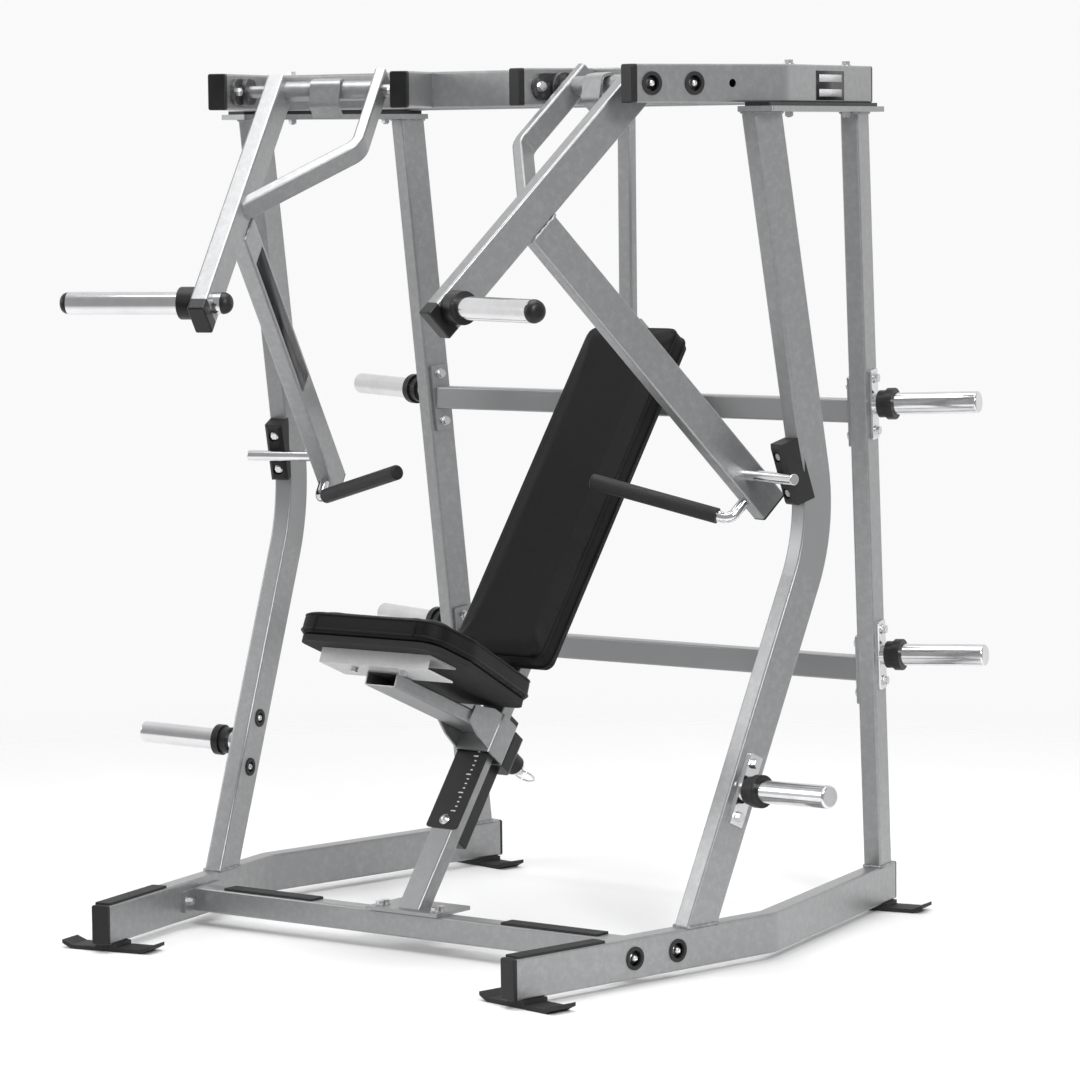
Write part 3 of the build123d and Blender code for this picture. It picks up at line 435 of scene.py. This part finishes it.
def hug(piece, up, level, grow, step=0.012):
    """A loop round a pad's own skin at a height along its normal, stood off by a small growth."""
    across = x_axis if abs(up.x) < 0.001 else up.orthogonal().normalized()
    back = up.cross(across)
    near = [v.co for v in piece.data.vertices if abs(v.co.dot(up) - level) < skin_slab]
    flat = sorted((co.dot(across), co.dot(back)) for co in near)
    hull = []
    for points in (flat, flat[::-1]):
        chain = []
        for point in points:
            while len(chain) > 1:
                (ax, ay), (bx, by) = chain[-2], chain[-1]
                if (bx - ax) * (point[1] - ay) - (by - ay) * (point[0] - ax) > 0:
                    break
                chain.pop()
            chain.append(point)
        hull += chain[:-1]
    loop = [Vector(point) for point in hull]
    dense = []
    for i, point in enumerate(loop):
        after = loop[(i + 1) % len(loop)]
        pieces = max(1, round((after - point).length / step))
        dense += [point.lerp(after, k / pieces) for k in range(pieces)]
    spaced = [dense[0]]
    for point in dense[1:]:
        if (point - spaced[-1]).length > step * least_gap:
            spaced.append(point)
    count = len(spaced)
    made = []
    for i, point in enumerate(spaced):
        run = (spaced[(i + 1) % count] - spaced[i - 1]).normalized()
        stand = point + Vector((run.y, -run.x)) * grow
        made.append(across * stand.x + back * stand.y + up * level)
    return made


seat_low, seat_high = extent("seat_pad", seat_up)
seat_from = extent("seat_pad", seat_back)[0]
back_low, back_high = extent("back_pad", spine_out)
seat_cushion = inflate("seat_pad", "seat_cushion", seat_up, pad_vinyl)
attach(seat_cushion, "seat")
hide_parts("seat_pad")
back_cushion = inflate("back_pad", "back_cushion", spine_out, pad_vinyl)
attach(back_cushion, "frame")
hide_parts("back_pad")

for name, loop, radius, body in (
    ("seat_piping_top", hug(seat_cushion, seat_up, seat_high - 0.013, -0.0004), 0.0018, "seat"),
    ("seat_piping_low", hug(seat_cushion, seat_up, seat_low + 0.012, 0.0002), 0.0028, "seat"),
    ("back_piping_front", hug(back_cushion, spine_out, back_high - 0.014, -0.0004), 0.0022, "frame"),
    ("back_piping_rear", hug(back_cushion, spine_out, back_low + 0.012, 0.0004), 0.0030, "frame"),
):
    add_object(name, tube_mesh(name, loop, radius, True), piping_vinyl, body)

seam_x = 0.138
seam_top = 0.017
seam_proud = 0.0012
seam_drop = 0.0355
seam_steps = 6
seam_radius = 0.0014
for hand, side in (("left", -1), ("right", 1)):
    top = seat_up * (seat_high - seam_top) + seat_back * (seat_from - seam_proud) + x_axis * (side * seam_x)
    seam = [top - seat_up * (seam_drop * k / seam_steps) for k in range(seam_steps + 1)]
    name = f"seat_seam_{hand}"
    add_object(name, tube_mesh(name, seam, seam_radius), piping_vinyl, "seat")

# ---------------------------------------------------------------- scale marks and plain plates
mark_count = 19
long_every = 4
long_mark, short_mark = 0.013, 0.006
mark_right = 0.020
mark_height, mark_rise, mark_ease = 0.003, 0.0006, 0.0001
below_marks, above_marks = 0.045, 0.012
scale_low, scale_high = extent("scale_plate", spine_up)
scale_face = extent("scale_plate", spine_out)[1]
mark_from, mark_to = scale_low + below_marks, scale_high - above_marks
for k in range(mark_count):
    at = mark_from + k * (mark_to - mark_from) / (mark_count - 1)
    width = short_mark if k % long_every else long_mark
    origin = spine_up * at + spine_out * scale_face + x_axis * (mark_right - width / 2)
    place = basis(origin, x_axis, spine_up, x_axis.cross(spine_up))
    name = f"scale_mark_{k:02d}"
    mark = box_mesh(name, place, (width, mark_height, mark_rise), mark_ease)
    add_object(name, mark, mark_white, "frame")


def domed_head(name, centre, out, radius, height):
    """A domed screw head with a washer rim and a round recess, turned about its own axis."""
    across = out.orthogonal().normalized()
    other = out.cross(across)
    grid = bmesh.new()
    profile = [(1.45, 0), (1.45, 0.12), (1.0, 0.16)]
    profile += [(math.cos(a), 0.16 + 0.84 * math.sin(a)) for a in (0.3, 0.6, 0.9, 1.15)]
    profile += [(0.34, 0.93), (0.30, 0.55)]
    sides = 36
    rings = []
    for reach, rise in profile:
        turns = [2 * math.pi * k / sides for k in range(sides)]
        rim = [(across * math.cos(a) + other * math.sin(a)) * radius * reach for a in turns]
        rings.append([grid.verts.new(centre + out * height * rise + spoke) for spoke in rim])
    for lower, upper in zip(rings, rings[1:]):
        for k in range(sides):
            grid.faces.new((lower[k], lower[(k + 1) % sides], upper[(k + 1) % sides], upper[k]))
    grid.faces.new(rings[0][::-1])
    grid.faces.new(rings[-1])
    bmesh.ops.recalc_face_normals(grid, faces=grid.faces)
    mesh = bpy.data.meshes.new(name)
    grid.to_mesh(mesh)
    grid.free()
    return mesh


screw_from_low = 0.022
screw_radius, screw_height = 0.009, 0.008
screw_at = spine_up * (scale_low + screw_from_low) + spine_out * scale_face
scale_screw = domed_head("scale_screw", screw_at, spine_out, screw_radius, screw_height)
add_object("scale_screw", scale_screw, zinc, "frame")

axis_passes = 6
axis_pull = 0.001


def ring_places(node):
    """The centre and outward direction of every separate flanged ring in a node."""
    grid = bmesh.new()
    grid.from_mesh(nodes[node].data)
    bmesh.ops.remove_doubles(grid, verts=grid.verts, dist=0.00001)
    places, seen = [], set()
    for start in grid.verts:
        if start in seen:
            continue
        island, queue = [], [start]
        seen.add(start)
        while queue:
            vertex = queue.pop()
            island.append(vertex.co)
            for edge in vertex.link_edges:
                other = edge.other_vert(vertex)
                if other not in seen:
                    seen.add(other)
                    queue.append(other)
        centre = sum(island, Vector()) / len(island)
        spokes = [co - centre for co in island]
        longest = max(spokes, key=lambda spoke: spoke.length)
        axis = longest.cross(max(spokes, key=lambda spoke: longest.cross(spoke).length)).normalized()
        for _ in range(axis_passes):
            drift = sum((spoke * spoke.dot(axis) for spoke in spokes), Vector())
            axis = (axis * len(spokes) * axis_pull - drift).normalized()
        widest = sorted(spokes, key=lambda spoke: -(spoke - axis * spoke.dot(axis)).length)
        rim = widest[: len(widest) // 4]
        lean_out = sum(spoke.dot(axis) for spoke in rim)
        places.append((centre, axis if lean_out > 0 else -axis))
    grid.free()
    return places


bolt_sunk = 0.006
bolt_radius, bolt_height = 0.0085, 0.012
for k, (centre, out) in enumerate(ring_places("hole_grommets")):
    name = f"hole_bolt_{k:02d}"
    head = domed_head(name, centre - out * bolt_sunk, out, bolt_radius, bolt_height)
    add_object(name, head, zinc, "frame")

turn = math.radians(20)
drop = math.radians(46.1)
rear_turn = math.radians(8.26)
strip_size = (0.42, 0.054, 0.001)
strip_from_top = 0.30
beam_plate_size = (0.146, 0.064, 0.001)
beam_plate_from_end = 0.221
beam_plate_drop = 0.004
plate_lift, plate_ease = 0.0004, 0.0003
bar_size = (0.118, 0.016, 0.0006)
bar_offset, bar_lift = 0.016, 0.0006
for side, hand in ((1, "right"), (-1, "left")):
    inboard = Vector((-side * math.cos(turn), math.sin(turn), 0))
    forward = Vector((-side * math.sin(turn), -math.cos(turn), 0))
    down = -forward * math.cos(drop) - z_axis * math.sin(drop)
    cross = down.cross(inboard)
    node = f"{hand}_handle_arm"
    face = extent(node, inboard)[1]
    arm_from = extent(node, down)[0]
    middle = sum(extent(node, cross)) / 2
    origin = inboard * (face + plate_lift) + down * (arm_from + strip_from_top) + cross * middle
    place = basis(origin, down, cross, inboard)
    name = f"{hand}_arm_strip"
    strip = box_mesh(name, place, strip_size, plate_ease)
    add_object(name, strip, decal_grey, f"{hand}_arm")

    beam_run = Vector((-side * math.sin(rear_turn), math.cos(rear_turn), 0))
    beam_out = Vector((side * math.cos(rear_turn), math.sin(rear_turn), 0))
    node = f"{hand}_outer_beam"
    face = extent(node, beam_out)[1]
    beam_to = extent(node, beam_run)[1]
    beam_mid_z = (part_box(node)[0].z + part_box(node)[1].z) / 2
    origin = beam_out * (face + plate_lift) + beam_run * (beam_to - beam_plate_from_end)
    origin += z_axis * (beam_mid_z - beam_plate_drop)
    name = f"{hand}_beam_plate"
    place = basis(origin, beam_run, z_axis, beam_run.cross(z_axis))
    plate = box_mesh(name, place, beam_plate_size, plate_ease)
    add_object(name, plate, decal_grey, "frame")
    for k, tall in enumerate((bar_offset, -bar_offset)):
        name = f"{hand}_beam_plate_bar_{k}"
        spot = origin + z_axis * tall + beam_out * bar_lift
        bar = box_mesh(name, basis(spot, beam_run, z_axis, beam_run.cross(z_axis)), bar_size, mark_ease)
        add_object(name, bar, light_grey, "frame")


# ---------------------------------------------------------------- weld beads
bead_radius = 0.0034
bead_stand = 0.0012
bead_step = 0.006
bead_ripple = 0.0007
bead_turn = 1.9
bead_inset = 0.001


def weld_bead(name, node, up, level, body):
    """A bead round a tube's end where it meets the part that it is welded to."""
    loop = hug(nodes[node], up, level, bead_stand, bead_step)
    ripple = [point + up * (bead_ripple * math.sin(bead_turn * k)) for k, point in enumerate(loop)]
    add_object(name, tube_mesh(name, ripple, bead_radius, True), weld_paint, body)


arm_drop = math.radians(43.8)
for side, hand in ((1, "right"), (-1, "left")):
    for tube in ("front_upright", "rear_upright"):
        node = f"{hand}_{tube}"
        low, high = extent(node, z_axis)
        weld_bead(f"{node}_foot_weld", node, z_axis, low + bead_inset, "frame")
        weld_bead(f"{node}_head_weld", node, z_axis, high - bead_inset, "frame")
    forward = Vector((-side * math.sin(turn), -math.cos(turn), 0))
    over = forward * math.sin(arm_drop) + z_axis * math.cos(arm_drop)
    node = f"{hand}_handle_arm"
    weld_bead(f"{node}_weld", node, over, extent(node, over)[1] - bead_inset, f"{hand}_arm")


# ---------------------------------------------------------------- studio
def area(name, location, target, size, power):
    """A soft square light aimed at a point."""
    data = bpy.data.lights.new(name, "AREA")
    data.shape = "SQUARE"
    data.size = size
    data.energy = power
    lamp = bpy.data.objects.new(name, data)
    bpy.context.scene.collection.objects.link(lamp)
    lamp.location = location
    lamp.rotation_euler = (Vector(target) - Vector(location)).to_track_quat("-Z", "Y").to_euler()


floor_half = 6
floor_drop = 0.0005
floor_solid_to, floor_clear_from = 1.6, 4.2
floor_mesh = bpy.data.meshes.new("studio_floor")
grid = bmesh.new()
bmesh.ops.create_grid(grid, x_segments=2, y_segments=2, size=floor_half)
grid.to_mesh(floor_mesh)
grid.free()
floor = bpy.data.objects.new("studio_floor", floor_mesh)
bpy.context.scene.collection.objects.link(floor)
floor.location.z = cad_box[0][2] - floor_drop
made, tree, shader, coords = new_material("studio_floor")
tint = mix_colour(tree, noise(tree, coords, 1.2, 3, 0.5), (0.86, 0.86, 0.86), (0.9, 0.9, 0.9))
tree.links.new(tint, shader.inputs["Base Color"])
shader.inputs["Roughness"].default_value = 0.55
reach = tree.nodes.new("ShaderNodeVectorMath")
reach.operation = "LENGTH"
tree.links.new(coords, reach.inputs[0])
clear = tree.nodes.new("ShaderNodeBsdfTransparent")
fade = tree.nodes.new("ShaderNodeMixShader")
far = remap(tree, reach.outputs["Value"], floor_solid_to, floor_clear_from, 0, 1)
tree.links.new(far, fade.inputs["Fac"])
tree.links.new(shader.outputs["BSDF"], fade.inputs[1])
tree.links.new(clear.outputs["BSDF"], fade.inputs[2])
tree.links.new(fade.outputs["Shader"], tree.nodes["Material Output"].inputs["Surface"])
floor_mesh.materials.append(made)

shaded_sky, open_sky = (0.42, 0.42, 0.425), (0.95, 0.95, 0.95)
world = bpy.data.worlds.new("studio")
bpy.context.scene.world = world
world.use_nodes = True
sky = world.node_tree
towards = sky.nodes.new("ShaderNodeVectorMath")
towards.operation = "DOT_PRODUCT"
towards.inputs[1].default_value = (-0.6, 0.8, 0.0)
sky.links.new(sky.nodes.new("ShaderNodeTexCoord").outputs["Generated"], towards.inputs[0])
shade = remap(sky, towards.outputs["Value"], -0.5, 0.35, 0, 1)
sky_colour = mix_colour(sky, shade, shaded_sky, open_sky)
sky.links.new(sky_colour, sky.nodes["Background"].inputs["Color"])
sky.nodes["Background"].inputs["Strength"].default_value = 1.0
middle = (0, 0, 1.0)
area("key", (4.6, -2.6, 3.8), middle, 1.4, 210)
area("fill", (-4.4, -3.4, 3.0), middle, 2.4, 60)
area("top", (0, -0.4, 5.0), middle, 3.2, 150)

# ---------------------------------------------------------------- camera
eye = Vector((5.8529, -7.7084, 1.7704))
azimuth, elevation, roll = math.radians(36.6395), math.radians(5.3057), math.radians(-0.6152)
right = Vector((math.cos(azimuth), math.sin(azimuth), 0))
level_back = Vector((math.sin(azimuth), -math.cos(azimuth), 0))
back = level_back * math.cos(elevation) + z_axis * math.sin(elevation)
upward = back.cross(right)
rolled_right = right * math.cos(roll) + upward * math.sin(roll)
rolled_up = upward * math.cos(roll) - right * math.sin(roll)
camera_data = bpy.data.cameras.new("camera")
camera_data.sensor_width = 36
camera_data.lens = 143.61
camera_data.shift_x = -0.001593
camera_data.shift_y = 0.005806
camera_data.clip_end = 100
camera = bpy.data.objects.new("camera", camera_data)
bpy.context.scene.collection.objects.link(camera)
camera.matrix_world = basis(eye, rolled_right, rolled_up, back)
bpy.context.scene.camera = camera
bpy.context.scene.view_settings.view_transform = "Standard"
